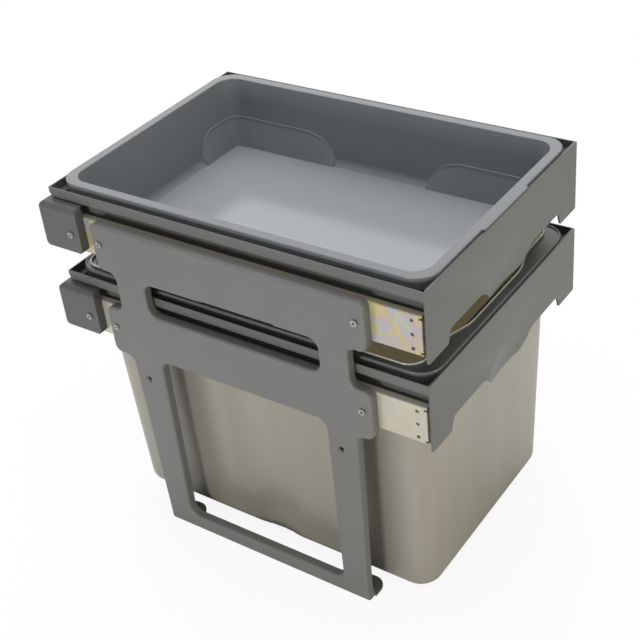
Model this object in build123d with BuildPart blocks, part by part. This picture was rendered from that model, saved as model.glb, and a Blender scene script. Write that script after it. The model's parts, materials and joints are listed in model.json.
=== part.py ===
from build123d import *
import math
import os

os.makedirs("parts", exist_ok=True)

# Sizes in millimetres. +X is the way the drawers pull out, Y runs across, +Z is up.
# The origin lies on the cabinet floor, under the middle of the closed unit.

# Drawer frames
frame_length = 464.0
frame_width = 318.0
upper_lip_height = 427.0
tier_pitch = 106.0
sheet = 1.5
lip_height = 11.0
lip_corner_cut = 4.0
web_below_slide = 2.0
end_flange_width = 14.0
end_flange_height = 34.0
end_flange_drop = 18.0
rear_ledge_width = 10.0
rear_web_drop = 40.0
front_ledge_width = 8.0
front_web_drop = 32.0

# Front plates
plate_thickness = 2.0
plate_rise = 1.0
plate_drop = 80.5
plate_corner_radius = 3.0
leg_width = 37.5
leg_step_width = 5.0
leg_edge_radius = 2.0
arch_drop = 65.0
arch_corner_radius = 7.0
lobe_drop = 83.0
lobe_half_width = 33.0
lobe_ramp_width = 17.0
lobe_root_radius = 22.0
lobe_tip_radius = 18.0
dish_radius = 50.0
dish_depth = 6.0
dish_centre_drop = 98.0

# Ball-bearing slides
slide_height = 45.0
slide_thickness = 12.7
slide_overhang = 2.0
slide_drop = 26.0
slide_front_gap = 4.0
slide_rear_gap = 10.0
rail_sheet = 1.2
rail_bend_radius = 1.6
flange_return = 1.5
cabinet_flange_depth = 9.0
middle_web_gap = 1.2
middle_flange_gap = 0.3
middle_front_setback = 5.0
middle_rear_setback = 12.0
drawer_flange_gap = 1.4
drawer_rear_setback = 12.0
ball_play = 0.1
outer_ball_diameter = 4.0
inner_ball_diameter = 3.2
outer_ball_inset = 4.4
inner_ball_inset = 3.6
cage_sheet = 0.5
cage_bend_radius = 0.9
cage_web_gap = 0.35
cage_flange_margin = 0.7
cage_hole_play = 0.1
cage_end_margin = 12.0
balls_per_row = 8
front_hole_inset = 10.5
front_hole_pitch = 16.0
front_hole_diameter = 4.2
front_hole_square = 3.8
rail_notch_width = 3.0
rail_notch_height = 2.6
rail_notch_drop = 3.2

# Rivets between drawer rails and frame
rivet_diameter = 4.0
rivet_play = 0.05
rivet_head_diameter = 7.0
rivet_head_height = 0.8
rivet_end_inset = 60.0
rivets_per_rail = 3

# Rear buffers
buffer_depth = 9.8
buffer_height = 18.0
buffer_gap = 0.3

# Rear covers
cover_overhang = 7.0
cover_length = 52.5
cover_drop = 12.3
cover_height = 54.7
cover_wall = 2.0
cover_face_setback = 13.0
cover_web_gap = 1.7
cover_corner_radius = 6.0
cover_edge_radius = 1.5
cover_top_radius = 7.0
cover_screw_setback = 11.5
cover_screw_drop = 44.0

# Side stands
stand_face_setback = 13.0
stand_slide_gap = 0.3
stand_wall = 2.5
stand_edge_radius = 3.0
stand_front_inset = 60.0
stand_cover_gap = 17.5
stand_drop = 22.5
stand_corner_radius = 7.0
waist_top_drop = 80.0
waist_bottom_drop = 127.0
waist_depth = 23.0
waist_radius = 9.0
wing_bottom_drop = 188.0
wing_corner_radius = 10.0
leg_top_rear_inset = 25.5
leg_top_front_inset = 20.5
leg_bottom_rear_inset = 35.0
leg_bottom_front_inset = 26.0
leg_bottom_radius = 3.0
toe_reach = 4.0
toe_height = 12.0
toe_radius = 9.0
slot_rear_inset = 62.5
slot_front_inset = 57.5
slot_top_drop = 82.0
slot_height = 40.0
slot_radius = 12.0
slot_rise = 1.2
slot_rise_rear_inset = 76.5
slot_rise_front_inset = 52.5
window_rear_inset = 67.0
window_front_inset = 57.0
window_top_drop = 182.0
window_bottom_height = 19.5
window_radius = 12.0
foot_depth = 34.5
foot_thickness = 2.5
foot_corner_radius = 14.0
stand_screw_margin = 10.5
stand_screw_drop = 46.0
side_hole_front_margin = 41.5
side_hole_rear_margin = 43.5
side_hole_drop = 213.5
side_hole_diameter = 5.0
side_hole_sink_diameter = 9.0
boss_diameter = 9.5
side_boss_diameter = 14.0

# Screws
screw_diameter = 4.0
screw_play = 0.05
screw_head_diameter = 7.4
screw_head_height = 2.0
screw_recess_diameter = 2.6
screw_recess_depth = 1.2

# Bins, shared rim
rim_side_gap = 9.0
rim_front_gap = 3.0
rim_rear_gap = 4.0
rim_corner_radius = 25.0
rim_thickness = 2.0
skirt_thickness = 1.8
bin_wall = 2.5

# Upper bin
upper_rim_width = 11.0
upper_rim_rise = 4.0
upper_floor_drop = 80.0
upper_draft = 4.0
upper_corner_radius = 20.0
upper_bottom_radius = 9.0
tab_width = 93.0
tab_reach = 3.0
tab_corner_radius = 2.5
relief_step = 1.4
relief_height = 36.0
relief_long = 155.0
relief_short = 72.0
relief_curve_long = 46.0
relief_curve_short = 30.0

# Lower bin
lower_band_rise = 1.5
lower_bead_rise = 3.0
lower_bead_width = 2.5
lower_lip_rise = 5.0
lower_lip_thickness = 1.6
lower_lip_side_inset = 6.0
lower_lip_front_inset = 19.0
lower_lip_rear_inset = 6.0
lower_lip_bulge = 10.0
lower_lip_bulge_half_width = 48.0
lower_lip_ramp = 45.0
lip_corner_radius = 19.0
lip_ramp_radius = 40.0
lower_collar_step = 2.0
lower_side_inset = 8.5
lower_front_inset = 13.0
lower_rear_inset = 8.0
lower_side_draft = 6.0
lower_front_draft = 12.0
lower_rear_draft = 14.0
lower_corner_radius = 30.0
lower_bottom_corner_radius = 26.0
lower_floor_clearance = 6.0
lower_bottom_radius = 12.0
grip_width = 70.0
grip_depth = 8.0
grip_top_depth = 0.3
grip_height = 77.0
grip_shift = 2.5

# Cutting tools reach this far past the faces they cut
overrun = 1.0

# Places worked out from the sizes above
overall_length = frame_length + cover_overhang
front_x = overall_length / 2
frame_rear_x = front_x - frame_length
cover_rear_x = frame_rear_x - cover_overhang
plate_inner_x = front_x - plate_thickness
half_width = frame_width / 2
ledge_drop = lip_height - sheet
slide_setback = -slide_overhang
web_inset = slide_setback + slide_thickness
web_inner_inset = web_inset + sheet
slide_front_x = front_x - slide_front_gap
slide_rear_x = frame_rear_x + slide_rear_gap
slide_length = slide_front_x - slide_rear_x
slide_travel = slide_length
cover_front_x = cover_rear_x + cover_length
stand_front_x = front_x - stand_front_inset
stand_rear_x = cover_front_x + stand_cover_gap
slide_centre_drop = slide_drop + slide_height / 2
tiers = {"upper": upper_lip_height, "lower": upper_lip_height - tier_pitch}
sides = {"near": -1, "far": 1}


def side_y(side, inset):
    """Y place that lies `inset` in from the outer face of the frame's lip on one side."""
    return side * (half_width - inset)


def side_plane(side, inset):
    """XZ plane at that place, with X to its right and Z up."""
    return Plane.XZ.offset(-side_y(side, inset))


def block(x_start, x_end, y_start, y_end, z_start, z_end):
    """Adds a block between two places along each axis."""
    with Locations(((x_start + x_end) / 2, (y_start + y_end) / 2, (z_start + z_end) / 2)):
        Box(x_end - x_start, abs(y_end - y_start), z_end - z_start)


def cross_bars(side, places, diameter, inset_start, inset_end, mode=Mode.ADD):
    """Adds or cuts round bars along Y at (x, height) places, between two insets."""
    middle_y = side_y(side, (inset_start + inset_end) / 2)
    with Locations(*[Location((x_place, middle_y, height), (right_angle, 0, 0)) for x_place, height in places]):
        Cylinder(diameter / 2, inset_end - inset_start, mode=mode)


def places_at(x_places, height):
    """Places along the slide, all at one height."""
    return [(x_place, height) for x_place in x_places]


def save(piece, name):
    """Labels a finished piece and writes it."""
    piece.label = name
    export_step(piece, f"parts/{name}.step")


# Nested channels of the slides: half heights and insets, from the cabinet side inwards
right_angle = 90
cabinet_half = slide_height / 2
cabinet_inner_half = cabinet_half - rail_sheet
middle_half = cabinet_inner_half - outer_ball_diameter - 2 * ball_play
middle_inner_half = middle_half - rail_sheet
drawer_half = middle_inner_half - inner_ball_diameter - 2 * ball_play
cabinet_web_inner = slide_setback + rail_sheet
middle_inset = cabinet_web_inner + middle_web_gap
middle_web_inner = middle_inset + rail_sheet
drawer_web_outer = web_inset - rail_sheet
middle_end_inset = drawer_web_outer - middle_flange_gap
drawer_end_inset = middle_web_inner + drawer_flange_gap
outer_ball_at = cabinet_web_inner + outer_ball_inset
inner_ball_at = middle_web_inner + inner_ball_inset
outer_ball_height = (cabinet_inner_half + middle_half) / 2
inner_ball_height = (middle_inner_half + drawer_half) / 2
middle_front_x = slide_front_x - middle_front_setback
middle_rear_x = slide_rear_x + middle_rear_setback
drawer_rail_rear_x = slide_rear_x + drawer_rear_setback
cage_front_x = slide_front_x - cage_end_margin - slide_travel / 4
cage_rear_x = slide_front_x + cage_end_margin - slide_travel * 3 / 4
cage_length = cage_front_x - cage_rear_x
ball_pitch = cage_length / balls_per_row
rivet_pitch = (slide_front_x - drawer_rail_rear_x - 2 * rivet_end_inset) / (rivets_per_rail - 1)
rivet_xs = [slide_front_x - rivet_end_inset - index * rivet_pitch for index in range(rivets_per_rail)]
stand_screw_xs = [stand_front_x - stand_screw_margin, stand_rear_x + stand_screw_margin]
side_hole_xs = [stand_front_x - side_hole_front_margin, stand_rear_x + side_hole_rear_margin]
cover_screw_x = cover_front_x - cover_screw_setback


def channel(side, centre, rear_x, web_at, end_at, half, thickness, bend_radius, lip=0):
    """Sketches a C channel: web at one inset, flange ends at another, with a lip turned in at the ends."""
    inward = math.copysign(thickness, end_at - web_at)
    inner = half - thickness
    tight = bend_radius - thickness
    upper_half = [(web_at, half, bend_radius)]
    if lip:
        upper_half += [(end_at, half, bend_radius), (end_at, inner - lip, 0)]
        upper_half += [(end_at - inward, inner - lip, 0), (end_at - inward, inner, tight)]
    else:
        upper_half += [(end_at, half, 0), (end_at, inner, 0)]
    upper_half += [(web_at + inward, inner, tight)]
    outline = upper_half + [(inset, -height, radius) for inset, height, radius in reversed(upper_half)]
    with BuildSketch(Plane.YZ.offset(rear_x)) as area:
        with BuildLine():
            FilletPolyline(*[(side_y(side, inset), centre + height) for inset, height, _ in outline],
                           radius=[radius for _, _, radius in outline], close=True)
        make_face()
    return area.sketch


def row_places(side, centre, front, inset, height):
    """Places of the balls of one cage: two rows, above and below the slide's middle."""
    places = []
    for level in (centre + height, centre - height):
        for index in range(balls_per_row):
            places.append((front - (index + 1 / 2) * ball_pitch, side_y(side, inset), level))
    return places


def cage(side, centre, front, web_at, ball_at, ball_height, ball_diameter):
    """Makes a ball cage: a thin channel with a hole for each ball."""
    hole_radius = ball_diameter / 2 + cage_hole_play
    end_at = ball_at + hole_radius + cage_flange_margin
    area = channel(side, centre, front - cage_length, web_at, end_at, ball_height + cage_sheet / 2, cage_sheet,
                   cage_bend_radius)
    with BuildPart() as retainer:
        extrude(area, amount=cage_length)
        with Locations(*row_places(side, centre, front, ball_at, ball_height)):
            Cylinder(hole_radius, 2 * cage_sheet, mode=Mode.SUBTRACT)
    return retainer.part


def balls(centre, front, inset, height, diameter):
    """Makes the balls of the two cages of one tier as separate spheres."""
    with BuildPart() as spheres:
        for side in sides.values():
            with Locations(*row_places(side, centre, front, inset, height)):
                Sphere(diameter / 2)
    return spheres.part


# Slides, frame rails and their small parts, tier by tier
for tier, top in tiers.items():
    centre = top - slide_centre_drop
    rivet_places = [(x_place, centre) for x_place in rivet_xs]
    rivet_hole_diameter = rivet_diameter + 2 * rivet_play
    web_bottom = centre - cabinet_half - web_below_slide
    for side_name, side in sides.items():
        # Cabinet rail: the outer channel, screwed to the stand
        cabinet_area = channel(side, centre, slide_rear_x, slide_setback, slide_setback + cabinet_flange_depth,
                               cabinet_half, rail_sheet, rail_bend_radius, flange_return)
        front_hole_x = slide_front_x - front_hole_inset
        notch_height = cabinet_half - rail_notch_drop
        with BuildPart() as cabinet_rail:
            extrude(cabinet_area, amount=slide_length)
            with BuildSketch(side_plane(side, slide_setback)):
                with Locations((front_hole_x, centre)):
                    Circle(front_hole_diameter / 2)
                with Locations((front_hole_x, centre + front_hole_pitch), (front_hole_x, centre - front_hole_pitch)):
                    Rectangle(front_hole_square, front_hole_square)
                with Locations((slide_front_x, centre + notch_height), (slide_front_x, centre - notch_height)):
                    Rectangle(2 * rail_notch_width, rail_notch_height)
            extrude(amount=side * rail_sheet, mode=Mode.SUBTRACT)
            cross_bars(side, places_at(stand_screw_xs, top - stand_screw_drop), screw_diameter,
                       slide_setback, cabinet_web_inner, Mode.SUBTRACT)
            cross_bars(side, places_at([cover_screw_x], top - cover_screw_drop), screw_diameter,
                       slide_setback, cabinet_web_inner, Mode.SUBTRACT)
        save(cabinet_rail.part, f"{tier}_{side_name}_cabinet_rail")

        # Middle rail: runs out half as far as the drawer
        middle_area = channel(side, centre, middle_rear_x, middle_inset, middle_end_inset, middle_half, rail_sheet,
                              rail_bend_radius, flange_return)
        with BuildPart() as middle_rail:
            extrude(middle_area, amount=middle_front_x - middle_rear_x)
        save(middle_rail.part, f"{tier}_{side_name}_middle_rail")

        # Drawer rail: riveted to the web of the frame
        drawer_area = channel(side, centre, drawer_rail_rear_x, web_inset, drawer_end_inset, drawer_half, rail_sheet,
                              rail_bend_radius)
        with BuildPart() as drawer_rail:
            extrude(drawer_area, amount=slide_front_x - drawer_rail_rear_x)
            cross_bars(side, rivet_places, rivet_hole_diameter, drawer_web_outer, web_inset, Mode.SUBTRACT)
        save(drawer_rail.part, f"{tier}_{side_name}_drawer_rail")

        # Ball cages
        outer_cage = cage(side, centre, cage_front_x, cabinet_web_inner + cage_web_gap, outer_ball_at,
                          outer_ball_height, outer_ball_diameter)
        save(outer_cage, f"{tier}_{side_name}_outer_cage")
        inner_cage = cage(side, centre, cage_front_x, middle_web_inner + cage_web_gap, inner_ball_at,
                          inner_ball_height, inner_ball_diameter)
        save(inner_cage, f"{tier}_{side_name}_inner_cage")

        # Side rail of the frame: lip, ledge for the bin's rim, and the web that the slide carries
        with BuildPart() as side_rail:
            with BuildSketch(Plane.YZ.offset(frame_rear_x)):
                with BuildLine():
                    Polyline(
                        (side_y(side, 0), top),
                        (side_y(side, sheet), top),
                        (side_y(side, sheet), top - ledge_drop),
                        (side_y(side, web_inner_inset), top - ledge_drop),
                        (side_y(side, web_inner_inset), web_bottom),
                        (side_y(side, web_inset), web_bottom),
                        (side_y(side, web_inset), top - lip_height),
                        (side_y(side, 0), top - lip_height),
                        close=True,
                    )
                make_face()
            extrude(amount=frame_length - plate_thickness)
            block(plate_inner_x - sheet, plate_inner_x, side_y(side, web_inset),
                  side_y(side, web_inset + end_flange_width), top - end_flange_drop - end_flange_height,
                  top - end_flange_drop)
            with BuildSketch(side_plane(side, 0)):
                with BuildLine():
                    Polyline(
                        (frame_rear_x, top - lip_height),
                        (frame_rear_x + lip_corner_cut, top - lip_height),
                        (frame_rear_x, top - lip_height + lip_corner_cut),
                        close=True,
                    )
                make_face()
            extrude(amount=side * sheet, mode=Mode.SUBTRACT)
            cross_bars(side, rivet_places, rivet_hole_diameter, web_inset, web_inner_inset, Mode.SUBTRACT)
        save(side_rail.part, f"{tier}_{side_name}_side_rail")

    save(balls(centre, cage_front_x, outer_ball_at, outer_ball_height, outer_ball_diameter),
         f"{tier}_outer_balls")
    save(balls(centre, cage_front_x, inner_ball_at, inner_ball_height, inner_ball_diameter),
         f"{tier}_inner_balls")

    # Rivets that hold the drawer rails to the side rails
    tail_at = drawer_web_outer - rivet_head_height
    head_end = web_inner_inset + rivet_head_height
    with BuildPart() as rivets:
        for side in sides.values():
            cross_bars(side, rivet_places, rivet_diameter, tail_at, head_end)
            cross_bars(side, rivet_places, rivet_head_diameter, web_inner_inset, head_end)
            cross_bars(side, rivet_places, rivet_head_diameter, tail_at, drawer_web_outer)
    save(rivets.part, f"{tier}_rail_rivets")

    # Rear rail: lip on top of the side ledges, ledge and web between the side webs
    rail_half = half_width - web_inner_inset
    lip_half = half_width - sheet
    rear_ledge_x = frame_rear_x + rear_ledge_width
    with BuildPart() as rear_rail:
        block(frame_rear_x, frame_rear_x + sheet, -lip_half, lip_half, top - ledge_drop, top)
        block(frame_rear_x, rear_ledge_x, -rail_half, rail_half, top - lip_height, top - ledge_drop)
        block(rear_ledge_x - sheet, rear_ledge_x, -rail_half, rail_half, top - rear_web_drop, top - ledge_drop)
    save(rear_rail.part, f"{tier}_rear_rail")

    # Front rail: ledge and a flange against the back of the front plate
    front_ledge_x = plate_inner_x - front_ledge_width
    flange_half = half_width - web_inset - end_flange_width
    with BuildPart() as front_rail:
        block(front_ledge_x, plate_inner_x, -rail_half, rail_half, top - lip_height, top - ledge_drop)
        block(plate_inner_x - sheet, plate_inner_x, -flange_half, flange_half, top - front_web_drop, top - ledge_drop)
    save(front_rail.part, f"{tier}_front_rail")

    # Front plate: two legs over the slide ends, arches, and a lobe with a dished finger pull
    arch_end = half_width - leg_width - leg_step_width
    near_points = [
        (-half_width, top + plate_rise, plate_corner_radius),
        (-half_width, top - plate_drop, leg_edge_radius),
        (leg_width - half_width, top - plate_drop, leg_edge_radius),
        (-arch_end, top - arch_drop, arch_corner_radius),
        (-lobe_half_width - lobe_ramp_width, top - arch_drop, lobe_root_radius),
        (-lobe_half_width, top - lobe_drop, lobe_tip_radius),
    ]
    plate_points = near_points + [(-y_place, z_place, radius) for y_place, z_place, radius in reversed(near_points)]
    sphere_radius = (dish_radius ** 2 + dish_depth ** 2) / (2 * dish_depth)
    dish_centre = (front_x - dish_depth + sphere_radius, 0, top - dish_centre_drop)

    with BuildSketch() as plate_outline:
        with BuildLine():
            FilletPolyline(*[(y_place, z_place) for y_place, z_place, _ in plate_points],
                           radius=[radius for _, _, radius in plate_points], close=True)
        make_face()

    with BuildPart() as dish:
        with BuildSketch(Plane.YZ.offset(plate_inner_x - dish_depth)):
            add(plate_outline.sketch_local)
        extrude(amount=dish_depth + plate_thickness)
        with Locations(dish_centre):
            Sphere(sphere_radius + plate_thickness, mode=Mode.INTERSECT)

    with BuildPart() as front_plate:
        with BuildSketch(Plane.YZ.offset(plate_inner_x)):
            add(plate_outline.sketch_local)
        extrude(amount=plate_thickness)
        add(dish.part)
        with Locations(dish_centre):
            Sphere(sphere_radius, mode=Mode.SUBTRACT)
    save(front_plate.part, f"{tier}_front_plate")


# Rear covers over the rail ends, each a shell open towards the rail
cover_middle_x = (cover_rear_x + cover_front_x) / 2
cover_face = -cover_face_setback
cover_inner_face = cover_face + cover_wall
cover_inner_reach = web_inset - cover_web_gap
for tier, top in tiers.items():
    cover_top = top - cover_drop
    cover_bottom = cover_top - cover_height
    hollow_top = cover_top - cover_wall
    cover_spots = places_at([cover_screw_x], top - cover_screw_drop)
    for side_name, side in sides.items():
        with BuildPart() as rear_cover:
            with BuildSketch(Plane.YZ.offset(cover_rear_x)):
                with BuildLine():
                    FilletPolyline(
                        (side_y(side, cover_face), cover_bottom),
                        (side_y(side, slide_setback), cover_bottom),
                        (side_y(side, slide_setback), hollow_top),
                        (side_y(side, cover_inner_reach), hollow_top),
                        (side_y(side, cover_inner_reach), cover_top),
                        (side_y(side, cover_face), cover_top),
                        radius=[cover_edge_radius, 0, 0, 0, 0, cover_top_radius],
                        close=True,
                    )
                make_face()
            extrude(amount=cover_front_x - cover_rear_x)
            with BuildSketch(Plane.YZ.offset(cover_rear_x + cover_wall)):
                with BuildLine():
                    FilletPolyline(
                        (side_y(side, cover_inner_face), cover_bottom + cover_wall),
                        (side_y(side, slide_setback), cover_bottom + cover_wall),
                        (side_y(side, slide_setback), hollow_top),
                        (side_y(side, cover_inner_face), hollow_top),
                        radius=[0, 0, 0, cover_top_radius - cover_wall],
                        close=True,
                    )
                make_face()
            extrude(amount=cover_front_x - cover_rear_x - 2 * cover_wall, mode=Mode.SUBTRACT)
            block(cover_rear_x, cover_rear_x + cover_wall, side_y(side, slide_setback),
                  side_y(side, cover_inner_reach), cover_bottom, cover_top)
            with BuildSketch(side_plane(side, cover_face)):
                with Locations((cover_middle_x, (cover_top + cover_bottom) / 2)):
                    RectangleRounded(cover_front_x - cover_rear_x, cover_height, cover_corner_radius)
            extrude(amount=side * (cover_inner_reach - cover_face), mode=Mode.INTERSECT)
            cross_bars(side, cover_spots, boss_diameter, cover_inner_face, slide_setback)
            cross_bars(side, cover_spots, screw_diameter + 2 * screw_play, cover_face, slide_setback, Mode.SUBTRACT)
        save(rear_cover.part, f"{tier}_{side_name}_rear_cover")


def screws(spots, face):
    """Makes pan-head screws on both sides, through a face at a given inset into the cabinet rails."""
    head_at = face - screw_head_height
    with BuildPart() as group:
        for side in sides.values():
            cross_bars(side, spots, screw_diameter - 2 * screw_play, face, cabinet_web_inner)
            cross_bars(side, spots, screw_head_diameter, head_at, face)
            cross_bars(side, spots, screw_recess_diameter, head_at, head_at + screw_recess_depth, Mode.SUBTRACT)
    return group.part


stand_screw_spots = []
cover_screw_spots = []
for top in tiers.values():
    stand_screw_spots += places_at(stand_screw_xs, top - stand_screw_drop)
    cover_screw_spots += places_at([cover_screw_x], top - cover_screw_drop)
save(screws(stand_screw_spots, -stand_face_setback), "stand_screws")
save(screws(cover_screw_spots, cover_face), "cover_screws")

# Rubber buffers at the rear end of the cabinet rails, the closing stops
with BuildPart() as rear_buffers:
    for top in tiers.values():
        centre = top - slide_centre_drop
        for side in sides.values():
            block(slide_rear_x, drawer_rail_rear_x - buffer_gap, side_y(side, cabinet_web_inner),
                  side_y(side, cabinet_web_inner + buffer_depth),
                  centre - buffer_height / 2, centre + buffer_height / 2)
save(rear_buffers.part, "rear_buffers")


# Side stands: a moulded shell with rounded face edges, open at the back, with bosses and two feet
stand_top = upper_lip_height - stand_drop
waist_top = upper_lip_height - waist_top_drop
waist_bottom = upper_lip_height - waist_bottom_drop
wing_bottom = upper_lip_height - wing_bottom_drop
slot_top = upper_lip_height - slot_top_drop
window_top = upper_lip_height - window_top_drop
leg_bottom_rear_x = stand_rear_x + leg_bottom_rear_inset
leg_bottom_front_x = stand_front_x - leg_bottom_front_inset
toe_front_x = leg_bottom_front_x + toe_reach
slot_rear_x = stand_rear_x + slot_rear_inset
slot_front_x = stand_front_x - slot_front_inset
slot_rise_rear_x = slot_rear_x + slot_rise_rear_inset
slot_rise_front_x = slot_front_x - slot_rise_front_inset
window_rear_x = stand_rear_x + window_rear_inset
window_front_x = stand_front_x - window_front_inset


def stand_end(end_x, inward, leg_inset):
    """Outline of one end of the stand, from its top down to the root of the leg, with the waist between tiers."""
    waist_x = end_x + inward * waist_depth
    return [
        (end_x, stand_top, stand_corner_radius),
        (end_x, waist_top, waist_radius),
        (waist_x, waist_top, waist_radius),
        (waist_x, waist_bottom, waist_radius),
        (end_x, waist_bottom, waist_radius),
        (end_x, wing_bottom, wing_corner_radius),
        (end_x + inward * leg_inset, wing_bottom, wing_corner_radius),
    ]


front_leg = [(leg_bottom_front_x, toe_height, toe_radius), (toe_front_x, 0, leg_bottom_radius)]
rear_leg = [(leg_bottom_rear_x, 0, leg_bottom_radius)]
front_end = stand_end(stand_front_x, -1, leg_top_front_inset)
rear_end = stand_end(stand_rear_x, 1, leg_top_rear_inset)
stand_points = front_end + front_leg + rear_leg + rear_end[::-1]
slot_points = [
    (slot_front_x, slot_top, slot_radius),
    (slot_front_x, slot_top - slot_height, slot_radius),
    (slot_rear_x, slot_top - slot_height, slot_radius),
    (slot_rear_x, slot_top, slot_radius),
]
window_points = [
    (window_front_x, window_top, window_radius),
    (window_front_x, window_bottom_height, window_radius),
    (window_rear_x, window_bottom_height, window_radius),
    (window_rear_x, window_top, window_radius),
]


def stand_loop(points):
    """Sketches the area inside a rounded outline."""
    with BuildSketch() as area:
        with BuildLine():
            FilletPolyline(*[(x_place, height) for x_place, height, _ in points],
                           radius=[radius for _, _, radius in points], close=True)
        make_face()
    return area.sketch_local


stand_areas = [stand_loop(points) for points in (stand_points, slot_points, window_points)]
with BuildSketch() as stand_outline:
    add(stand_areas[0])
    add(stand_areas[1:], mode=Mode.SUBTRACT)
    with Locations(((slot_rise_rear_x + slot_rise_front_x) / 2, slot_top)):
        Rectangle(slot_rise_front_x - slot_rise_rear_x, 2 * slot_rise, mode=Mode.SUBTRACT)

with BuildSketch() as stand_hollow:
    add(stand_outline.sketch_local)
    offset(amount=-stand_wall, mode=Mode.REPLACE)

stand_face = -stand_face_setback
stand_inner_face = stand_face + stand_wall
stand_back = slide_setback - stand_slide_gap
foot_spans = [(leg_bottom_rear_x, window_rear_x), (window_front_x, toe_front_x)]
sink_depth = (side_hole_sink_diameter - side_hole_diameter) / 2
side_spots = places_at(side_hole_xs, upper_lip_height - side_hole_drop)
for side_name, side in sides.items():
    with BuildPart() as stand:
        with BuildSketch(side_plane(side, stand_face)):
            add(stand_outline.sketch_local)
        extrude(amount=side * (stand_back - stand_face))
        fillet(stand.faces().sort_by(Axis.Y)[0 if side < 0 else -1].edges(), radius=stand_edge_radius)
        with BuildSketch(side_plane(side, stand_inner_face)):
            add(stand_hollow.sketch_local)
        extrude(amount=side * (stand_back - stand_inner_face), mode=Mode.SUBTRACT)
        cross_bars(side, stand_screw_spots, boss_diameter, stand_inner_face, slide_setback)
        cross_bars(side, stand_screw_spots, screw_diameter + 2 * screw_play, stand_face, slide_setback, Mode.SUBTRACT)
        cross_bars(side, side_spots, side_boss_diameter, stand_inner_face, stand_back)
        cross_bars(side, side_spots, side_hole_diameter, stand_face, stand_back, Mode.SUBTRACT)
        sink_y = side_y(side, stand_face + sink_depth / 2)
        with Locations(*[Location((x_place, sink_y, height), (-side * right_angle, 0, 0))
                         for x_place, height in side_spots]):
            Cone(side_hole_diameter / 2, side_hole_sink_diameter / 2, sink_depth, mode=Mode.SUBTRACT)
        with BuildSketch(Plane.XY):
            foot_outer_y = side_y(side, stand_back)
            foot_inner_y = side_y(side, stand_face + foot_depth)
            for span_start, span_end in foot_spans:
                with Locations(((span_start + span_end) / 2, (foot_outer_y + foot_inner_y) / 2)):
                    Rectangle(span_end - span_start, abs(foot_outer_y - foot_inner_y))
        extrude(amount=foot_thickness)
        upright_edges = stand.edges().filter_by(Axis.Z).sort_by(Axis.Y)
        foot_corners = upright_edges[-4:] if side < 0 else upright_edges[:4]
        fillet(foot_corners, radius=foot_corner_radius)
    save(stand.part, f"{side_name}_stand")


# Bins
rim_front_x = front_x - rim_front_gap
rim_rear_x = frame_rear_x + rim_rear_gap
rim_half = half_width - rim_side_gap
rim_section = (rim_rear_x, rim_front_x, rim_half, rim_corner_radius)


def inset_section(section, amount):
    """A rounded section (rear, front, half width, corner radius), smaller by the same amount all round."""
    rear, front, half, radius = section
    return (rear + amount, front - amount, half - amount, radius - amount)


def rounded_area(section, mode=Mode.ADD):
    """Sketches a rounded section, centred across the width."""
    rear, front, half, radius = section
    with Locations(((rear + front) / 2, 0)):
        RectangleRounded(front - rear, 2 * half, radius, mode=mode)


def ring(height_start, height_end, thickness):
    """Makes an upright ring along the outline that both rims share."""
    with BuildPart() as band:
        with BuildSketch(Plane.XY.offset(height_start)):
            rounded_area(rim_section)
            rounded_area(inset_section(rim_section, thickness), Mode.SUBTRACT)
        extrude(amount=height_end - height_start)
    return band.part


def tub(top_section, bottom_section, z_top, z_bottom, bottom_radius):
    """Makes a tapered solid between two rounded sections."""
    with BuildPart() as form:
        with BuildSketch(Plane.XY.offset(z_bottom)):
            rounded_area(bottom_section)
        with BuildSketch(Plane.XY.offset(z_top)):
            rounded_area(top_section)
        loft(ruled=True)
        fillet(form.faces().sort_by(Axis.Z)[0].edges(), radius=bottom_radius)
    return form.part


# Upper bin: shallow, with corner reliefs inside and a grip tab over the front plate
top = tiers["upper"]
rim_top = top + upper_rim_rise
floor_z = top - upper_floor_drop
mouth = (rim_rear_x + upper_rim_width, rim_front_x - upper_rim_width, rim_half - upper_rim_width,
         upper_corner_radius)
floor_section = inset_section(mouth, upper_draft)
upper_cavity = tub(mouth, floor_section, rim_top, floor_z, upper_bottom_radius)
upper_core = tub(inset_section(mouth, relief_step), inset_section(floor_section, relief_step), rim_top, floor_z,
                 upper_bottom_radius)
upper_body = tub(inset_section(mouth, -bin_wall), inset_section(floor_section, -bin_wall), rim_top,
                 floor_z - bin_wall, upper_bottom_radius + bin_wall)


def relief_arch(plane, corner, reach, curve, depth):
    """Makes a block from the corner along one wall up to the relief's height, with an elliptical end."""
    straight_end = corner + reach - math.copysign(curve, reach)
    with BuildPart() as arch:
        with BuildSketch(plane):
            with Locations(((corner + straight_end) / 2, floor_z + relief_height / 2)):
                Rectangle(abs(straight_end - corner), relief_height)
            with Locations((straight_end, floor_z)):
                Ellipse(curve, relief_height)
        extrude(amount=depth)
    return arch.part


relief_zone = upper_corner_radius + upper_draft
relief_arches = []
for side in sides.values():
    long_plane = Plane.XZ.offset(-side * mouth[2])
    for corner_x, inward in ((mouth[0], 1), (mouth[1], -1)):
        relief_arches.append(relief_arch(long_plane, corner_x, inward * relief_long, relief_curve_long,
                                         side * relief_zone))
        relief_arches.append(relief_arch(Plane.YZ.offset(corner_x), side * mouth[2], -side * relief_short,
                                         relief_curve_short, inward * relief_zone))

with BuildPart() as corner_reliefs:
    add(relief_arches)
    add(upper_cavity, mode=Mode.INTERSECT)
    add(upper_core, mode=Mode.SUBTRACT)

upper_skirt = ring(top - ledge_drop, rim_top, skirt_thickness)
with BuildPart() as upper_bin:
    add(upper_skirt)
    with BuildSketch(Plane.XY.offset(rim_top - rim_thickness)):
        rounded_area(rim_section)
        with Locations((rim_front_x, 0)):
            RectangleRounded(2 * tab_reach, tab_width, tab_corner_radius)
    extrude(amount=rim_thickness)
    add(upper_body)
    add(upper_cavity, mode=Mode.SUBTRACT)
    add(corner_reliefs.part)
save(upper_bin.part, "upper_bin")

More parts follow.
